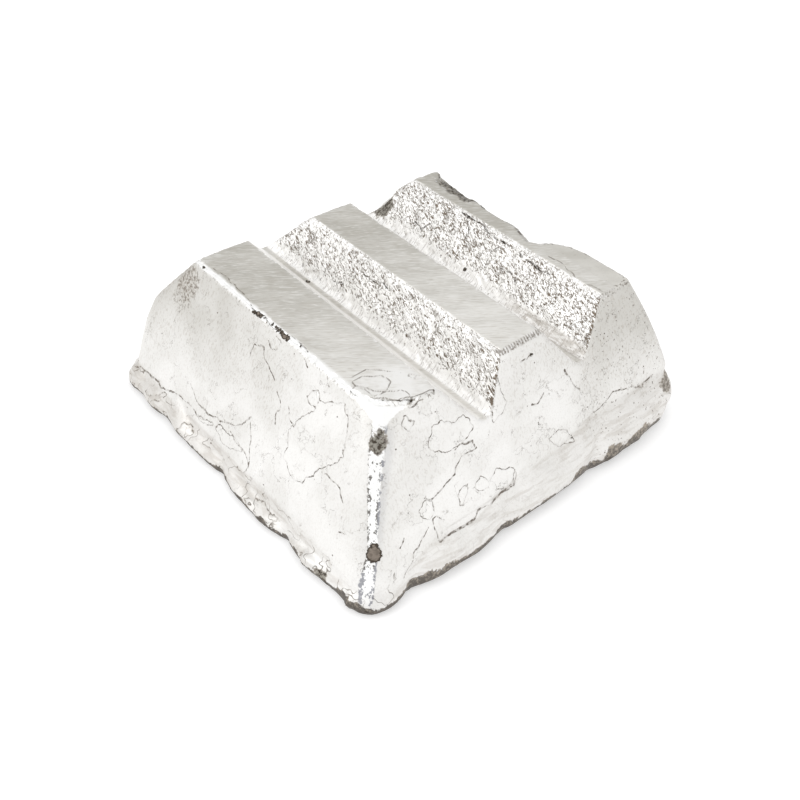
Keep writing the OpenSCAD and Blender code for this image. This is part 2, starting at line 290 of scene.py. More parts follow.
# The relief fades out between these heights over the floor, and keeps this far inside the box
FOOT_FADE = (0.05, 1.5)
INSET = 0.02
# The flat underside: the height under which it lies, and how far down its points and its faces
# must face
FLAT_FOOT = 0.3
POINTS_DOWN = -0.9
FACES_DOWN = -0.99
# Points of the solid closer than the first are one point, and the lands are level to the second
JOINED = 0.001
LEVEL_WITHIN = 0.01
# The mesh is halved this close to marks, and distances to marks are stored up to the second
FINE_REACH = 0.5
FAR = 9
# A side's marks are on skin that faces its way by more than this
FACING = 0.45


# ---------------------------------------------------------------------------------------
# Numbers for whole arrays of points

def step(low, high, value):
    """A soft step from 0 at low to 1 at high."""
    t = np.clip((value - low) / (high - low), 0, 1)
    return t * t * (3 - 2 * t)


def lumps(points, size, seed, squeeze=1):
    """Smooth noise from -1 to 1, with lumps about `size` across, by mixing hashed numbers."""
    place = points * squeeze / size + 31.7 * seed
    cell = np.floor(place).astype(np.int64)
    share = place - cell
    share = share * share * (3 - 2 * share)
    total = np.zeros(len(points))
    for corner in itertools.product((0, 1), repeat=3):
        x, y, z = (cell + corner).T
        code = (x * 73856093) ^ (y * 19349663) ^ (z * 83492791) ^ (seed * 668265263)
        code = ((code ^ (code >> 13)) * 1274126177) & 0x7FFFFFFF
        weight = np.prod(np.where(corner, share, 1 - share), axis=1)
        total += weight * (((code ^ (code >> 16)) & 0xFFFF) / 32767.5 - 1)
    return total


def waves(points, name):
    """The sum of the lumps that are listed by this name."""
    return sum(height * lumps(points, *lump) for height, *lump in WAVES[name])


def line_distance(points, line):
    """Distance from each point of a plane to a line of straight stretches."""
    nearest = np.full(len(points), np.inf)
    for start, end in zip(np.array(line[:-1], float), np.array(line[1:], float)):
        run = end - start
        share = np.clip((points - start) @ run / max(run @ run, 1e-9), 0, 1)
        nearest = np.minimum(nearest, np.linalg.norm(points - start - np.outer(share, run), axis=1))
    return nearest


def inside(points, outline):
    """Which points of a plane lie inside a closed outline."""
    x, y = points.T
    odd = np.zeros(len(points), bool)
    for (x0, y0), (x1, y1) in zip(outline, outline[1:] + outline[:1]):
        crosses = (y0 > y) != (y1 > y)
        with np.errstate(divide="ignore", invalid="ignore"):
            odd ^= crosses & (x < (x1 - x0) * (y - y0) / (y1 - y0) + x0)
    return odd


def flake_field(points, flakes):
    """Distance to the nearest flake's edge, negative on a flake."""
    field = np.full(len(points), np.inf)
    for outline in flakes:
        edge = line_distance(points, outline + outline[:1])
        field = np.minimum(field, np.where(inside(points, outline), -edge, edge))
    return field


def crack_field(points, cracks):
    """Distance to the nearest crack."""
    return np.min([line_distance(points, line) for line in cracks], axis=0)


# ---------------------------------------------------------------------------------------
# Where each kind of surface lies

def roof_section(mesh):
    """The lands and grooves across the middle of the ingot, as (x, z) from left to right."""
    cut = bmesh.new()
    cut.from_mesh(mesh)
    geometry = cut.verts[:] + cut.edges[:] + cut.faces[:]
    found = bmesh.ops.bisect_plane(cut, geom=geometry, plane_co=(0, 0, 0), plane_no=(0, 1, 0))
    points = [item.co / MM for item in found["geom_cut"] if isinstance(item, bmesh.types.BMVert)]
    section = sorted({(round(p.x, 3), round(p.z, 3)) for p in points if p.z > HEIGHT / 2})
    cut.free()
    flat = [x for x, z in section if z > HEIGHT - LEVEL_WITHIN]
    return [p for p in section if flat[0] <= p[0] <= flat[-1]]


def zones(p, n, section):
    """How far each point belongs to each kind of surface, from 0 to 1."""
    right, back, height = p.T
    faces_right, faces_back, faces_up = n.T
    root = min(z for _, z in section)
    side_lap = np.where((right > RIGHT_SIDE) & (back < RIGHT_PART), LAP_RIGHT, LAP_PLAIN)
    lap = np.where(back < FRONT_END, np.interp(right, *zip(*LAP_FRONT)), side_lap)
    rim = np.where(back < FRONT_RIM, np.interp(right, *zip(*RIM_FRONT)), RIM_PLAIN)
    measured = {
        "right": right, "back": back, "height": height,
        "faces_right": faces_right, "faces_back": faces_back, "faces_up": faces_up,
        "off_roof": line_distance(p[:, (0, 2)], section),
        "over_root": height - root,
        "over_lap": height - lap,
        "over_rim": height - rim - waves(p, "rim_edge"),
        "under_top": HEIGHT - height,
        "ragged_depth": HEIGHT - height - waves(p, "chip_edge"),
        "ragged_right": right + waves(p, "crest_edge"),
        "torn": waves(p, "torn"),
    }

    def steps(name):
        return np.prod([step(*ends, measured[what]) for what, *ends in SURFACES[name]], axis=0)

    zone = {name: steps(name) for name in (
        "land", "bright_wall", "dull_wall", "root", "ledge", "lip", "chip", "slump")}
    zone["arris"] = steps("crest") * np.maximum(steps("edge"), steps("left_crest"))
    # Painted shade under the lip: where it faces down, and below the height of its rim
    zone["under"] = np.maximum(steps("shaded"), steps("rim"))
    zone["slump"] *= (np.abs(right) < SLUMP_REACH) & (back > FRONT_RIM)
    covered = zone["land"] + zone["bright_wall"] + zone["dull_wall"] + zone["root"]
    zone["skin"] = 1 - np.clip(covered, 0, 1)

    wall = zone["bright_wall"] > 0.5
    ends = [back[wall & (height < root + WALL_END)].min(),
            back[wall & (height > HEIGHT - WALL_END)].min()]
    measured["from_end"] = back - np.interp(height, (root, HEIGHT), ends) + waves(p, "end_edge")
    zone["mouth"] = zone["bright_wall"] * steps("wall_end")
    zone["torn"] = zone["bright_wall"] * steps("tearing")
    return zone


def marks(p, n, zone):
    """Distances in millimetres to the edges of flakes, cracks, spots and the corner band."""
    flake = np.full(len(p), np.inf)
    crack = np.full(len(p), np.inf)
    bend = np.column_stack((waves(p, "bend_along"), waves(p, "bend_up")))
    side, end = p[:, (1, 2)], p[:, (0, 2)]
    sides = [
        (-n[:, 0], side, SIDE_FLAKES, SIDE_CRACKS),
        (-n[:, 1], end, END_FLAKES, END_CRACKS),
        (n[:, 0], side * MIRRORED + RIGHT_SHIFT, SIDE_FLAKES, SIDE_CRACKS),
        (n[:, 1], end * MIRRORED + BACK_SHIFT, END_FLAKES, END_CRACKS),
    ]
    for facing, place, flakes, cracks in sides:
        on = (facing > FACING) & (zone["skin"] > 0.5)
        flake[on] = flake_field(place[on], flakes)
        crack[on] = crack_field((place + bend)[on], cracks)
    on = zone["land"] + zone["arris"] > 0.5
    crack[on] = crack_field((p[:, (0, 1)] + bend)[on], LAND_CRACKS)
    for half, cracks in ((p[:, 0] < 0, WALL_CRACKS), (p[:, 0] > 0, FAR_WALL_CRACKS)):
        on = half & (zone["bright_wall"] > 0.5)
        crack[on] = crack_field((side + bend)[on], cracks)
    spot = np.min([np.linalg.norm(p - s[:3], axis=1) - s[3] for s in SPOTS], axis=0)
    heights, middles, halves = zip(*BAND)
    across = (p[:, 0] - p[:, 1]) / math.sqrt(2) - CORNER_LEAN * p[:, 2]
    band = (across - np.interp(p[:, 2], heights, middles)) / np.interp(p[:, 2], heights, halves)
    ragged = waves(p, "mark_edge")
    mark = {
        "flake": flake + ragged,
        "crack": crack + CRACK_RAGGED * ragged,
        "spot": spot + SPOT_RAGGED * ragged,
        "band": np.where(p[:, 0] + p[:, 1] < CORNER, band, FAR),
    }
    return {name: np.clip(distance, -FAR, FAR) for name, distance in mark.items()}


def patches(p):
    """How strongly each point is rough broken metal."""
    edge = waves(p, "patch_edge")
    return np.max([
        strength * step(*PATCH_BEVEL, np.linalg.norm(p - place, axis=1) - radius + edge)
        for *place, radius, strength in PATCHES], axis=0)


# ---------------------------------------------------------------------------------------
# The casting

def remeshed(source, voxel):
    """A copy of the solid as an even, fine mesh."""
    copy = bmesh.new()
    copy.from_mesh(source.data)
    bmesh.ops.remove_doubles(copy, verts=copy.verts, dist=JOINED * MM)
    mesh = bpy.data.meshes.new("ingot_casting")
    copy.to_mesh(mesh)
    copy.free()
    piece = bpy.data.objects.new("ingot_casting", mesh)
    bpy.context.scene.collection.objects.link(piece)
    modifier = piece.modifiers.new("even_mesh", "REMESH")
    modifier.mode = "VOXEL"
    modifier.voxel_size = voxel
    modifier.use_smooth_shade = True
    evaluated = piece.evaluated_get(bpy.context.evaluated_depsgraph_get())
    piece.data = bpy.data.meshes.new_from_object(evaluated)
    piece.modifiers.clear()
    bpy.data.meshes.remove(mesh)
    return piece


def surface(mesh):
    """Places in millimetres and normals of the mesh's points."""
    p = np.empty(3 * len(mesh.vertices))
    n = np.empty(3 * len(mesh.vertices))
    mesh.vertices.foreach_get("co", p)
    mesh.vertex_normals.foreach_get("vector", n)
    return p.reshape(-1, 3) / MM, n.reshape(-1, 3)


def refine(piece, section):
    """Halves the mesh on the bright walls and along marks, and thins it under the ingot."""
    p, n = surface(piece.data)
    zone = zones(p, n, section)
    mark = marks(p, n, zone)
    nearest = np.minimum(np.abs(mark["flake"]), np.abs(mark["crack"]))
    nearest = np.minimum(nearest, mark["spot"])
    fine = (zone["bright_wall"] > 0.5) | (nearest < FINE_REACH)
    work = bmesh.new()
    work.from_mesh(piece.data)
    foot = FLAT_FOOT * MM
    work.verts.ensure_lookup_table()
    chosen = {e for v in work.verts if fine[v.index] for f in v.link_faces for e in f.edges}
    bmesh.ops.subdivide_edges(work, edges=list(chosen), cuts=1, use_grid_fill=True)
    for v in work.verts:
        if v.co.z < foot and all(f.normal.z < POINTS_DOWN for f in v.link_faces):
            v.co.z = 0
    under = [f for f in work.faces
             if f.normal.z < FACES_DOWN and all(v.co.z < foot for v in f.verts)]
    bmesh.ops.dissolve_faces(work, faces=under, use_verts=True)
    bmesh.ops.triangulate(work, faces=[f for f in work.faces if len(f.verts) > 4])
    work.to_mesh(piece.data)
    work.free()


def relief(p, zone, mark):
    """How far each point stands out of the plain solid, in millimetres."""
    cosine, sine = COLUMN_LEAN
    leant = np.column_stack((p[:, 0], p[:, 1] * cosine + p[:, 2] * sine,
                             p[:, 2] * cosine - p[:, 1] * sine))
    out = sum(zone[name] * (level + waves(p, name)) for name, level in LEVELS.items())
    out += zone["bright_wall"] * waves(leant, "columns") - TORN_DEPTH * zone["torn"]
    out -= zone["arris"] * NICK_DEPTH * np.clip(waves(p, "nicks") - NICKS_FROM, 0, 1)
    beaded = (p[:, 1] < BEADED_BACK) & (p[:, 0] > BEADED[0]) & (p[:, 0] < BEADED[1])
    out += zone["arris"] * beaded * BEAD_HEIGHT * np.sin(2 * math.pi * p[:, 0] / BEAD_PITCH)
    out += zone["skin"] * FLAKE_RISE * step(*FLAKE_BEVEL, mark["flake"])
    out -= CRACK_DEPTH * step(*CRACK_BEVEL, np.minimum(np.abs(mark["flake"]), mark["crack"]))
    out -= SPOT_DEPTH * step(*SPOT_BEVEL, mark["spot"])
    return out


def store(mesh, name, values):
    """Keeps one number for each point of the mesh, for the metal to read."""
    layer = mesh.attributes.new(name, "FLOAT", "POINT")
    layer.data.foreach_set("value", np.asarray(values, np.float32))


def build_casting(settings):
    """Makes the casting from the ingot's solid, with its relief and its marks."""
    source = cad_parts[NODE]
    section = roof_section(source.data)
    piece = remeshed(source, settings.mesh_size)
    refine(piece, section)
    mesh = piece.data
    p, n = surface(mesh)
    zone = zones(p, n, section) | {"patch": patches(p)}
    mark = marks(p, n, zone)
    rise = settings.relief * relief(p, zone, mark) * step(*FOOT_FADE, p[:, 2])
    moved = np.clip(p + n * rise[:, None], LOW + (INSET, INSET, 0), HIGH - INSET)
    mesh.vertices.foreach_set("co", (moved * MM).ravel())
    for name, values in (zone | mark).items():
        store(mesh, name, values)
    for face in mesh.polygons:
        face.use_smooth = True
    mesh.update()
    return piece


# ---------------------------------------------------------------------------------------
# The metal

# Kinds of node that the metal and the studio are made of, with their settings
KINDS = {
    "plus": ("ShaderNodeMath", {"operation": "ADD"}),
    "minus": ("ShaderNodeMath", {"operation": "SUBTRACT"}),
    "times": ("ShaderNodeMath", {"operation": "MULTIPLY"}),
    "highest": ("ShaderNodeMath", {"operation": "MAXIMUM"}),
    "below": ("ShaderNodeMath", {"operation": "LESS_THAN"}),
    "absolute": ("ShaderNodeMath", {"operation": "ABSOLUTE"}),
    "sine": ("ShaderNodeMath", {"operation": "SINE"}),
    "ramp": ("ShaderNodeMapRange", {"interpolation_type": "SMOOTHSTEP"}),
    "blend": ("ShaderNodeMix", {"data_type": "RGBA"}),
    "moved": ("ShaderNodeVectorMath", {"operation": "ADD"}),
    "scaled": ("ShaderNodeVectorMath", {"operation": "SCALE"}),
    "laid": ("ShaderNodeMapping", {"vector_type": "TEXTURE"}),
    "noise": ("ShaderNodeTexNoise", {}),
    "cells": ("ShaderNodeTexVoronoi", {"feature": "F1"}),
    "cell_edges": ("ShaderNodeTexVoronoi", {"feature": "DISTANCE_TO_EDGE"}),
}

# Surfaces and marks that the casting's points keep for the metal to read
STORED = ("land", "bright_wall", "dull_wall", "root", "arris", "ledge", "lip", "under", "chip",
          "slump", "skin", "mouth", "torn", "flake", "crack", "spot", "band", "patch")

# How a pattern is turned: level, along the strokes of the bright walls, or along the brushing
# of the lands
LEVEL = (0, 0, 0)
WALL_LEAN = (math.radians(32), 0, 0)
BRUSHED = (0, 0, math.radians(-38))

# Patterns of the metal: size in millimetres along X, Y and Z, detail, roughness, warp and turn.
# The tooth, streaks, strokes and fringe are finer on real metal, and are this coarse to show.
PATTERNS = {
    "rag": ((1.1, 1.1, 1.1), 3, 0.5, 0, LEVEL),
    "tooth": ((0.6, 0.6, 0.6), 3, 0.5, 0, LEVEL),
    "clouds": ((18, 18, 18), 3, 0.5, 0, LEVEL),
    "wrinkles": ((0.6, 0.6, 3), 3, 0.5, 0.6, LEVEL),
    "beading": ((1.2, 1.2, 1.2), 2, 0.5, 0, LEVEL),
    "edge_gaps": ((6, 6, 6), 2, 0.5, 0, LEVEL),
    "crack_gaps": ((5, 5, 5), 2, 0.5, 0, LEVEL),
    "folds": ((8, 8, 4.8), 2, 0.5, 0, LEVEL),
    "fold_gaps": ((9, 9, 9), 2, 0.5, 0, LEVEL),
    "rims": ((9, 9, 9), 5, 0.6, 0, LEVEL),
    "rim_gaps": ((7, 7, 7), 2, 0.5, 0, LEVEL),
    "dots": ((0.9, 0.9, 0.9), 1, 0.5, 0, LEVEL),
    "streaks": ((4.05, 0.45, 0.45), 1.5, 0.6, 0.8, BRUSHED),
    "satin": ((14, 7, 7), 3, 0.5, 0, BRUSHED),
    "laps": ((4, 4, 4), 3, 0.5, 0, LEVEL),
    "bends": ((0.9, 0.9, 0.9), 3, 0.5, 0, LEVEL),
    "crowds": ((5, 5, 5), 2, 0.5, 0, LEVEL),
    "strokes": ((0.5, 2.5, 0.5), 2, 0.5, 0.9, WALL_LEAN),
    "fringe": ((2.7, 0.45, 2.7), 3, 0.5, 0, LEVEL),
    "splits": ((1.6, 1.6, 1.6), 3, 0.5, 0, LEVEL),
    "stains": ((0.9, 3.6, 0.9), 3, 0.5, 0, LEVEL),
    "bands": ((0.6, 4.2, 0.6), 3, 0.5, 0, LEVEL),
    "root": ((4.2, 1.4, 4.2), 3, 0.5, 0, LEVEL),
    "wear": ((1.6, 1.6, 1.6), 5, 0.62, 0, LEVEL),
    "beside": ((0.9, 0.9, 0.9), 3, 0.5, 0, LEVEL),
    "clumps": ((2.6, 2.6, 2.6), 2, 0.5, 0, LEVEL),
    "specks": ((0.85, 0.85, 1.275), 5, 0.7, 0, LEVEL),
    "flows": ((9, 9, 1.5), 4, 0.5, 0.5, LEVEL),
    "fracture": ((1, 1, 1), 4, 0.65, 0, LEVEL),
    "crystals": ((1.2, 1.2, 1.2), 4, 0.5, 0, LEVEL),
}
# Spacing of the pin holes and size of the walls' crystals along X, Y and Z, in millimetres
PIN_HOLES = 3.2
CRYSTAL = (1, 2.2, 1)
CAST_ROUGHNESS = 0.52
BUMP_STRENGTH = 0.5


def add_node(tree, kind, *values, out=None, **named):
    """Adds a node and gives back one of its outputs, the first unless `out` names it.

    The values fill its open sockets in order, from numbers, colours or outputs of other nodes,
    and None leaves a socket alone. The names are settings, or sockets by their own names. A
    Math node takes two values, so more of them make a chain."""
    id_name, settings = KINDS.get(kind, (kind, {}))
    if id_name == "ShaderNodeMath" and len(values) > 2:
        values = (add_node(tree, kind, *values[:-1]), values[-1])
    node = tree.nodes.new(id_name)
    by_name = {name: value for name, value in named.items() if name in node.inputs}
    for name, value in (settings | named).items():
        if name not in by_name:
            setattr(node, name, value)
    sockets = list(zip([socket for socket in node.inputs if socket.enabled], values))
    sockets += [(node.inputs[name], value) for name, value in by_name.items()]
    for socket, value in sockets:
        if isinstance(value, bpy.types.NodeSocket):
            tree.links.new(value, socket)
        elif value is not None:
            socket.default_value = (*value, 1)[:4] if socket.type == "RGBA" else value
    return node.outputs[out] if out else next((s for s in node.outputs if s.enabled), None)


def cast_aluminium(look):
    """Cast aluminium alloy, straight from an open iron mould: satin and silver white, with
    dull flaking skin on the sides, crystalline groove walls and dark oxide in every crack."""
    material = bpy.data.materials.new("cast_aluminium_alloy_open_mould")
    material.use_nodes = True
    tree = material.node_tree
    tree.nodes.clear()
    add = partial(add_node, tree)

    mm = add("scaled", add("ShaderNodeTexCoord", out="Object"), 1 / MM)
    across, along, up = add("ShaderNodeSeparateXYZ", mm).node.outputs
    on = SimpleNamespace(**{
        name: add("ShaderNodeAttribute", attribute_name=name, out="Fac") for name in STORED})
    grain = SimpleNamespace(**{
        name: add("noise", add("laid", mm, None, turn, sizes), 1, detail, rough, None, warp)
        for name, (sizes, detail, rough, warp, turn) in PATTERNS.items()})
    ragged = add("minus", grain.rag, 0.5)

    # Skin of the sides: near white, greyed by painted shade high up towards the back and the front
    # right, with random clouds of tone
    to_back = add("ramp", along, -40, 50, 0.1, 0.8)
    to_right = add("times", add("ramp", across, 0, 55), add("ramp", along, 10, -50))
    painted_shade = add("times", add("highest", to_back, to_right), add("ramp", up, 8, 52))
    shade = add("plus", painted_shade, add("ramp", grain.clouds, 0.35, 0.65, -0.05, 0.25))
    colour = add("blend", shade, look.skin, look.skin_painted_shade_and_clouds)
    colour = add("blend", add("ramp", grain.tooth, 0.5, 0.8, 0, 0.16), colour, look.fleck)
    wrinkles = add("times", add("ramp", grain.wrinkles, 0.52, 0.66),
                   add("ramp", shade, 0.05, 0.5, 0.06, 0.3))
    colour = add("blend", wrinkles, colour, look.fleck)

    # Flakes: a clean pale face inside a thin dark edge that comes and goes, as cracks do
    flake = add("plus", on.flake, add("times", ragged, 0.8))
    colour = add("blend", add("ramp", flake, 0.1, -0.5, 0, 0.15), colour, look.flake)
    edge = add("times", add("ramp", add("absolute", flake), 0.06, 0.24, 1, 0),
               add("ramp", grain.edge_gaps, 0.34, 0.52, 0.2, 1))
    crack = add("plus", on.crack, add("times", ragged, 0.3))
    crack = add("times", add("ramp", crack, 0.15, 0.34, 1, 0),
                add("ramp", grain.crack_gaps, 0.3, 0.46, 0.3, 1))
    beading = add("ramp", grain.beading, 0.38, 0.62, 0.3, 1)

    # Faint outlines of thin skins, and pin holes that crowd towards the front right
    folds = add("absolute", add("minus", grain.folds, 0.52))
    folds = add("times", add("ramp", folds, 0.004, 0.012, 1, 0),
                add("ramp", grain.fold_gaps, 0.45, 0.55, 0.1, 0.8), on.lip,
                add("ramp", across, -48, -58, 0.12, 1))
    rims = add("absolute", add("minus", grain.rims, 0.53))
    rims = add("times", add("ramp", rims, 0.002, 0.006, 1, 0),
               add("ramp", grain.rim_gaps, 0.45, 0.6, 0, 0.5), on.skin,
               add("ramp", on.lip, 0, 1, 1, 0.2))
    hole = add("cells", mm, 1 / PIN_HOLES)
    chance = add("ShaderNodeSeparateColor", hole.node.outputs["Color"])
    front_right = add("times", add("ramp", across, 10, 50), add("ramp", along, 40, -40, 0.25, 1))
    share = add("plus", add("times", front_right, 0.26), 0.07)
    holes = add("times", add("ramp", hole, 0.05, 0.11, 1, 0), add("below", chance, share), on.skin)
    dots = add("times", add("ramp", grain.dots, 0.67, 0.73),
               add("ramp", front_right, 0, 1, 0.05, 0.7), on.skin)
    lines = add("times", add("highest", edge, crack), beading)
    lines = add("highest", lines, rims, folds, holes, dots)
    colour = add("blend", add("times", lines, 0.85), colour, look.line)

    # Lands: warm satin grey, painted darker than the skin as shade of the dimmer light they mirror
    # from above, lighter towards the front and darker towards the back as a painted sheen, and
    # darker on the right land, with short brushed streaks and thin pale laps on the front left
    # corner
    painted_sheen_and_tone = add("plus", add("ramp", along, -55, 30, 0, 0.8),
               add("ramp", grain.satin, 0.35, 0.65, -0.15, 0.15),
               add("ramp", across, 36, 46, 0, 0.4))
    satin = add("blend", painted_sheen_and_tone, look.land, look.land_painted_shade)
    lands = add("blend", add("ramp", grain.streaks, 0.5, 0.68, 0, 0.42), satin, look.flake)
    lands = add("blend", add("ramp", grain.streaks, 0.48, 0.3, 0, 0.28), lands, look.fleck)
    laps = add("times", add("ramp", along, -32, -42), add("ramp", across, -26, -34),
               add("ramp", grain.laps, 0.35, 0.6, 0.4, 0.9))
    lands = add("blend", laps, lands, look.flake)
    lands = add("blend", add("times", crack, 0.6), lands, look.line)
    # The ledge takes the lands' satin, with its painted shade and sheen, without streaks
    colour = add("blend", on.ledge, add("blend", on.land, colour, lands), satin)

    # Bright groove walls: white crystals, with brown strokes between them that rise to the back, a
    # finer net, a fringe low down and brown-grey low down at the front of the right groove
    crowd = add("plus", add("ramp", grain.crowds, 0.35, 0.65, -0.025, 0.025),
                add("ramp", up, 41.5, 45.5, -0.16, 0), add("times", on.mouth, 0.12),
                add("times", on.torn, 0.05), add("ramp", across, 0, 1, 0.008, 0.018))
    strokes = add("ramp", add("plus", grain.strokes, crowd), 0.575, 0.62)
    crystals = add("moved", add("laid", mm, None, WALL_LEAN, CRYSTAL),
                   grain.bends.node.outputs["Color"])
    net = add("times", add("ramp", add("cell_edges", crystals, 1), 0.02, 0.1, 1, 0),
              add("ramp", add("plus", grain.rag, crowd), 0.46, 0.56), 0.8)
    flecks = add("times", add("highest", strokes, net), add("ramp", on.arris, 0, 1, 1, 0.7))
    fringe = add("times", add("ramp", grain.fringe, 0.54, 0.62), add("ramp", up, 45, 42), 0.35)
    dark = add("times", add("highest", flecks, fringe), 0.9)
    walls = add("blend", dark, look.wall, look.wall_fleck)
    splits = add("times", crack, beading, add("ramp", grain.splits, 0.42, 0.52, 0.1, 1))
    walls = add("blend", splits, walls, look.oxide)
    front_brown = add("times", add("ramp", across, 0, 1), add("ramp", along, -12, -34),
                add("ramp", up, 44, 43), add("ramp", grain.stains, 0.35, 0.6, 0.1, 0.5))
    walls = add("blend", front_brown, walls, look.fleck)
    colour = add("blend", on.bright_wall, colour, walls)

    # Dull groove walls: brown striations along the groove, only high up. The root is satin, greyed
    # by painted shade in the lands' colour that grows towards the back
    bands = add("times", add("ramp", grain.bands, 0.46, 0.6), add("ramp", up, 46, 51), 0.3)
    dulling = add("highest", add("times", flecks, 0.25), bands)
    colour = add("blend", on.dull_wall, colour, add("blend", dulling, look.wall, look.fleck))
    grey = add("times", on.root, add("ramp", grain.root, 0.3, 0.7, 0.1, 0.45),
               add("ramp", along, -35, 15))
    colour = add("blend", grey, colour, look.land)

    # Worn edges: bare and bright, with dark oxide beside them and a beaded middle front edge
    worn = add("plus", grain.wear, add("ramp", across, -46, -44, 0, -0.26))
    worn = add("times", on.arris, add("ramp", worn, 0.3, 0.35))
    colour = add("blend", worn, colour, look.bare_and_highlight)
    beside = add("times", add("minus", 1, worn), add("ramp", on.arris, 0.05, 0.4),
                 add("ramp", grain.beside, 0.5, 0.62), on.skin, 0.7)
    colour = add("blend", beside, colour, look.line)
    colour = add("blend", add("times", crack, on.arris, beading), colour, look.oxide)
    left, right = BEADED
    ripple = add("sine", add("times", across, 2 * math.pi / BEAD_PITCH))
    beads = add("times", add("ramp", across, left - 2, left + 1),
                add("ramp", across, right + 2, right - 1),
                add("ramp", along, BEADED_BACK, BEADED_BACK - 3), on.arris,
                add("ramp", ripple, -0.2, 0.5, 0.1, 0.6))
    colour = add("blend", beads, colour, look.line)

    # The bright band down the rounded front left corner, a painted highlight, with dark specks of
    # oxide along its sides and a painted blue-grey shade beside its right edge
    side = add("plus", on.band, add("times", ragged, 0.5))
    band = add("absolute", side)
    bare_and_highlight = add("times", add("ramp", band, 0.85, 1.05, 1, 0), add("ramp", up, 3, 7), on.skin)
    colour = add("blend", bare_and_highlight, colour, look.bare_and_highlight)
    painted_side_shade = add("times", add("ramp", side, 0.9, 1.2), add("ramp", side, 2.6, 1.3),
              add("ramp", up, 16, 26), add("ramp", up, 53, 50), on.skin, 0.18)
    colour = add("blend", painted_side_shade, colour, look.blue_oxide_and_shade)
    specks = add("plus", grain.specks, add("ramp", band, 0.2, 0.9, -0.06, 0.07),
                 add("ramp", grain.clumps, 0.35, 0.65, -0.08, 0.07),
                 add("ramp", up, 14, 8, 0, 0.04))
    specks = add("times", add("ramp", specks, 0.55, 0.6), add("ramp", band, 1, 1.25, 1, 0),
                 add("ramp", up, 51, 53, 1, 0), 0.85)
    blue = add("times", add("highest", add("ramp", side, 0.6, 0.9), add("ramp", up, 15, 12)), 0.75)
    colour = add("blend", specks, colour, add("blend", blue, look.oxide, look.blue_oxide_and_shade))

    # Flow lines of the lip, darker on the left side's lip towards the back and with painted shade
    # towards the right, broken metal of the chip and patches, and crystals of the slump
    flows = add("plus", add("ramp", grain.flows, 0.45, 0.65, 0.05, 0.28),
                add("times", add("ramp", across, -60, -66), add("ramp", along, -45, 10), 0.14),
                add("ramp", across, 10, 50, 0, 0.08))
    colour = add("blend", add("times", on.lip, flows), colour, look.fleck)
    rough = add("minus", grain.fracture, 0.5)
    broken = add("blend", add("ramp", grain.fracture, 0.42, 0.58), look.fracture, look.oxide)
    colour = add("blend", add("times", on.chip, 0.5), colour, broken)
    crystals = add("times", add("ramp", grain.crystals, 0.5, 0.6), on.slump, 0.5)
    colour = add("blend", crystals, colour, look.fleck)
    weak = add("blend", add("ramp", grain.fracture, 0.48, 0.6), look.fleck, look.line)
    patch = add("blend", add("ramp", on.patch, 0.4, 0.7), weak, broken)
    cover = add("times", add("ramp", add("plus", on.patch, rough), 0.32, 0.5),
                add("ramp", on.patch, 0.1, 0.8, 0.4, 1))
    colour = add("blend", cover, colour, patch)

    # The lip's shaded underside: painted shade, granular in the oxide and fleck colours, paler
    # where it climbs
    painted_under_shade = add("plus", up, add("times", rough, 26))
    painted_under_shade = add("blend", add("ramp", painted_under_shade, 2.5, 10), look.oxide, look.fleck)
    shadow = add("plus", on.under, add("times", rough, 2))
    colour = add("blend", add("ramp", shadow, 0.4, 0.7, 0, 0.9), colour, painted_under_shade)

    # Spots of slag: brown-grey inside a dark granular rim
    spot = add("plus", on.spot, add("times", rough, 2.2))
    slag = add("blend", add("ramp", grain.fracture, 0.4, 0.6, 0, 0.4), look.slag, look.oxide)
    slag = add("blend", add("ramp", spot, -0.6, -0.35), slag, look.oxide)
    colour = add("blend", add("ramp", spot, 0, 0.2, 1, 0), colour, slag)

    # Satin cast metal, glossier where it is flat or rubbed, and dull in the cracks
    roughness = add("plus", CAST_ROUGHNESS, add("times", on.land, -0.1),
                    add("times", add("highest", worn, bare_and_highlight), -0.12), add("times", lines, 0.3))

    # Bump of what is too fine for the mesh, in millimetres
    height = add("plus", add("times", grain.tooth, 0.06),
                 add("times", grain.streaks, on.land, 0.08))
    height = add("minus", height, add("times", flecks, on.bright_wall, 0.25))
    height = add("minus", height, add("times", lines, 0.25))
    bump = add("ShaderNodeBump", BUMP_STRENGTH, MM, Height=height)

    metal = add("ShaderNodeBsdfPrincipled", colour, 1, roughness, Normal=bump)
    add("ShaderNodeOutputMaterial", metal)
    return material


# ---------------------------------------------------------------------------------------
# The studio

# Lamps: degrees round from the key's azimuth, degrees up, share of the key's power, and width in
# metres
LAMPS = (("key_lamp", 0, 38, 1, 0.5), ("fill_lamp", 110, 30, 0.35, 0.6))
SENSOR_WIDTH = 36


def away(azimuth, elevation):
    """Direction of a lamp or camera from its aim, with azimuth 0 at the front."""
    turn, rise = math.radians(azimuth), math.radians(elevation)
    level = math.cos(rise)
    return Vector((math.sin(turn) * level, -math.cos(turn) * level, math.sin(rise)))


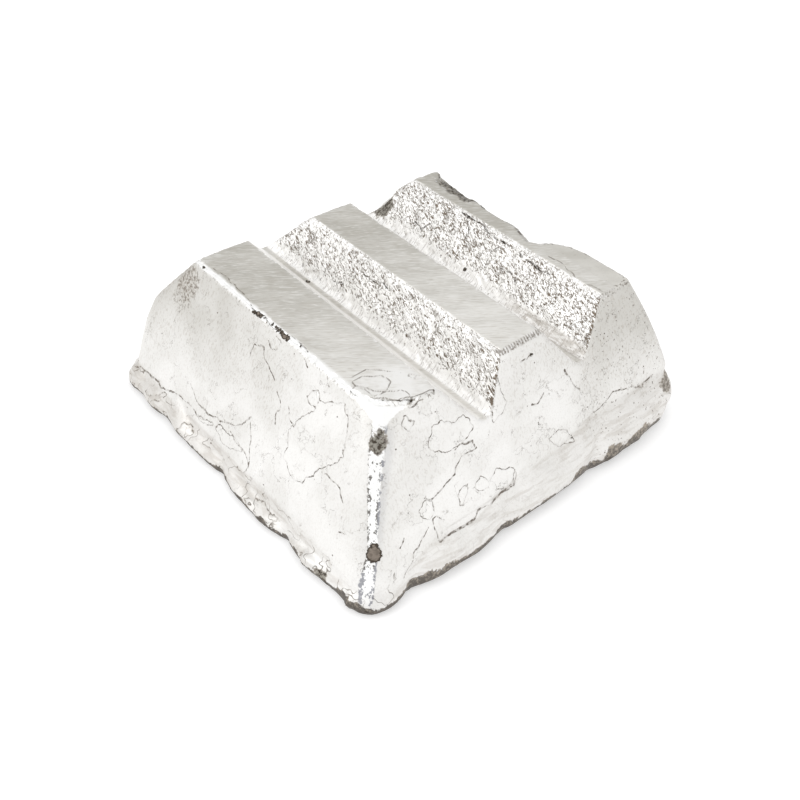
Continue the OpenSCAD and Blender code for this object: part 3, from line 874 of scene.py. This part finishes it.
def build_stage(settings):
    """A plain pale floor, soft lamps and the camera."""
    scene = bpy.context.scene
    scene.view_settings.view_transform = "Standard"

    ground = bmesh.new()
    bmesh.ops.create_grid(ground, x_segments=1, y_segments=1, size=settings.floor_reach)
    mesh = bpy.data.meshes.new("studio_floor")
    ground.to_mesh(mesh)
    ground.free()
    floor = bpy.data.objects.new("studio_floor", mesh)
    scene.collection.objects.link(floor)
    paint = bpy.data.materials.new("matt_white_paint_floor")
    paint.use_nodes = True
    paint.node_tree.nodes.clear()
    add = partial(add_node, paint.node_tree)
    camera_ray = add("ShaderNodeLightPath", out="Is Camera Ray")
    seen = add("highest", camera_ray, camera_ray.node.outputs["Is Glossy Ray"])
    matt = add("ShaderNodeBsdfDiffuse", settings.floor_colour)
    lift = add("ShaderNodeEmission", (1, 1, 1), settings.floor_lift)
    both = add("ShaderNodeAddShader", matt, lift)
    add("ShaderNodeOutputMaterial", add("ShaderNodeMixShader", seen, matt, both))
    mesh.materials.append(paint)

    world = bpy.data.worlds.new("studio")
    world.use_nodes = True
    scene.world = world
    world.node_tree.nodes.clear()
    add = partial(add_node, world.node_tree)
    camera_ray = add("ShaderNodeLightPath", out="Is Camera Ray")
    strength = add("ShaderNodeMapRange", camera_ray, 0, 1, settings.world_light, 1)
    add("ShaderNodeOutputWorld", add("ShaderNodeBackground", (1, 1, 1), strength))

    middle = Vector((0, 0, HEIGHT * MM / 2))
    for name, turn, elevation, share, width in LAMPS:
        lamp = bpy.data.lights.new(name, "AREA")
        lamp.shape = "SQUARE"
        lamp.size = width
        lamp.energy = settings.key_power * share
        holder = bpy.data.objects.new(name, lamp)
        back = away(settings.key_azimuth + turn, elevation)
        holder.location = middle + back * settings.lamp_distance
        holder.rotation_euler = back.to_track_quat("Z", "Y").to_euler()
        scene.collection.objects.link(holder)

    lens = bpy.data.cameras.new("camera")
    lens.lens = settings.lens
    lens.sensor_width = SENSOR_WIDTH
    camera = bpy.data.objects.new("camera", lens)
    back = away(settings.camera_azimuth, settings.camera_elevation)
    camera.location = Vector(settings.camera_aim) + back * settings.camera_distance
    camera.rotation_euler = back.to_track_quat("Z", "Y").to_euler()
    scene.collection.objects.link(camera)
    scene.camera = camera


# ---------------------------------------------------------------------------------------
# Settings, operators and panel

def hue(name, code, description):
    """A colour that a user can change."""
    return FloatVectorProperty(name=name, description=description, default=linear(code), size=3,
                               min=0, max=1, subtype="COLOR")


def length(name, value, description):
    """A length that a user can change, in metres."""
    return FloatProperty(name=name, description=description, default=value, subtype="DISTANCE",
                         unit="LENGTH")


def amount(name, value, description):
    """A plain number that a user can change."""
    return FloatProperty(name=name, description=description, default=value)


class IngotCastingSettings(bpy.types.PropertyGroup):
    """Sizes and colours of the casting's surface."""
    mesh_size: length("Mesh size", 1.05 * MM, "Spacing of the casting's mesh")
    relief: amount("Relief", 1.0, "Strength of the casting's relief")
    skin: hue("Skin", "#EFEEEC", "Cast skin of the sides")
    # Skin shade greys the skin as painted shade high up towards the back and the front right, and
    # in its random clouds
    skin_painted_shade_and_clouds: hue("Skin shade", "#CFCDC8", "Greyer parts of the cast skin")
    flake: hue("Flake", "#F5F4F2", "Clean face of a flake")
    line: hue("Line", "#66594B", "Edges of flakes, cracks and pin holes")
    # Land and land shade are the lands' satin with its painted shade, lighter to the front and
    # darker to the back as a painted sheen; land also greys the root as painted shade
    land: hue("Land", "#E6E4DF", "Satin of the lands")
    land_painted_shade: hue("Land shade", "#BDBAB2", "Darker satin towards the back")
    wall: hue("Wall", "#FDFCFA", "Crystals of the groove walls")
    wall_fleck: hue("Wall fleck", "#5E4C35", "Flecks between the crystals")
    # Fleck and oxide also colour the painted shade under the lip, and fleck the painted shade of
    # the lip towards the right
    fleck: hue("Fleck", "#A69C8F", "Brown-grey stains")
    # Bare is worn bright metal on the edges, and the colour of the corner band's painted highlight
    bare_and_highlight: hue("Bare", "#FDFDFC", "Worn bright metal on edges")
    oxide: hue("Oxide", "#4E473F", "Dark oxide")
    # Blue oxide colours specks beside the corner band, and the painted shade beside its right edge
    blue_oxide_and_shade: hue("Blue oxide", "#9698A2", "Thin bluish oxide")
    slag: hue("Slag", "#8C8278", "Inside of a slag spot")
    fracture: hue("Fracture", "#9C988F", "Broken metal")


class IngotStageSettings(bpy.types.PropertyGroup):
    """Camera, lamps and floor."""
    camera_azimuth: amount("Camera azimuth", -39.6, "Degrees from the front")
    camera_elevation: amount("Camera elevation", 42.5, "Degrees above the floor")
    camera_distance: length("Camera distance", 0.352, "From the aim")
    camera_aim: FloatVectorProperty(
        name="Camera aim", description="Point in the middle of the view",
        default=(-0.0182, -0.0237, 0.025), subtype="XYZ", unit="LENGTH")
    lens: amount("Lens", 46.2, "Focal length in millimetres on a 36 mm sensor")
    floor_reach: length("Floor reach", 4.0, "Half the floor's side")
    floor_colour: hue("Floor colour", "#E6E6E6", "Paint of the floor")
    floor_lift: amount("Floor lift", 0.35, "Light that the floor adds to itself in view")
    world_light: amount("Room light", 0.96, "Strength of the light from all round")
    key_azimuth: amount("Key azimuth", -105.0, "Degrees from the front")
    key_power: amount("Key power", 1.6, "Watts of the key lamp")
    lamp_distance: length("Lamp distance", 1.0, "From the ingot")


class INGOT_OT_casting(bpy.types.Operator):
    """Build the casting with its relief and its metal"""
    bl_idname = "ingot.casting"
    bl_label = "Casting"

    def execute(self, context):
        settings = context.scene.ingot_casting
        piece = build_casting(settings)
        piece.data.materials.clear()
        piece.data.materials.append(cast_aluminium(settings))
        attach(piece, BODY)
        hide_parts(NODE)
        return {"FINISHED"}


class INGOT_OT_stage(bpy.types.Operator):
    """Build the floor, the lamps and the camera"""
    bl_idname = "ingot.stage"
    bl_label = "Stage"

    def execute(self, context):
        build_stage(context.scene.ingot_stage)
        return {"FINISHED"}


class INGOT_PT_panel(bpy.types.Panel):
    """Lists the ingot's operators"""
    bl_idname = "INGOT_PT_panel"
    bl_label = "Ingot"
    bl_space_type = "VIEW_3D"
    bl_region_type = "UI"
    bl_category = "Ingot"

    def draw(self, context):
        for operator in OPERATORS:
            self.layout.operator(operator.bl_idname)


OPERATORS = (INGOT_OT_casting, INGOT_OT_stage)
CLASSES = (IngotCastingSettings, IngotStageSettings, *OPERATORS, INGOT_PT_panel)


def register():
    for item in CLASSES:
        bpy.utils.register_class(item)
    bpy.types.Scene.ingot_casting = PointerProperty(type=IngotCastingSettings)
    bpy.types.Scene.ingot_stage = PointerProperty(type=IngotStageSettings)


def unregister():
    del bpy.types.Scene.ingot_stage
    del bpy.types.Scene.ingot_casting
    for item in reversed(CLASSES):
        bpy.utils.unregister_class(item)


def main():
    register()
    bpy.ops.ingot.casting()
    bpy.ops.ingot.stage()


if __name__ == "__main__":
    main()
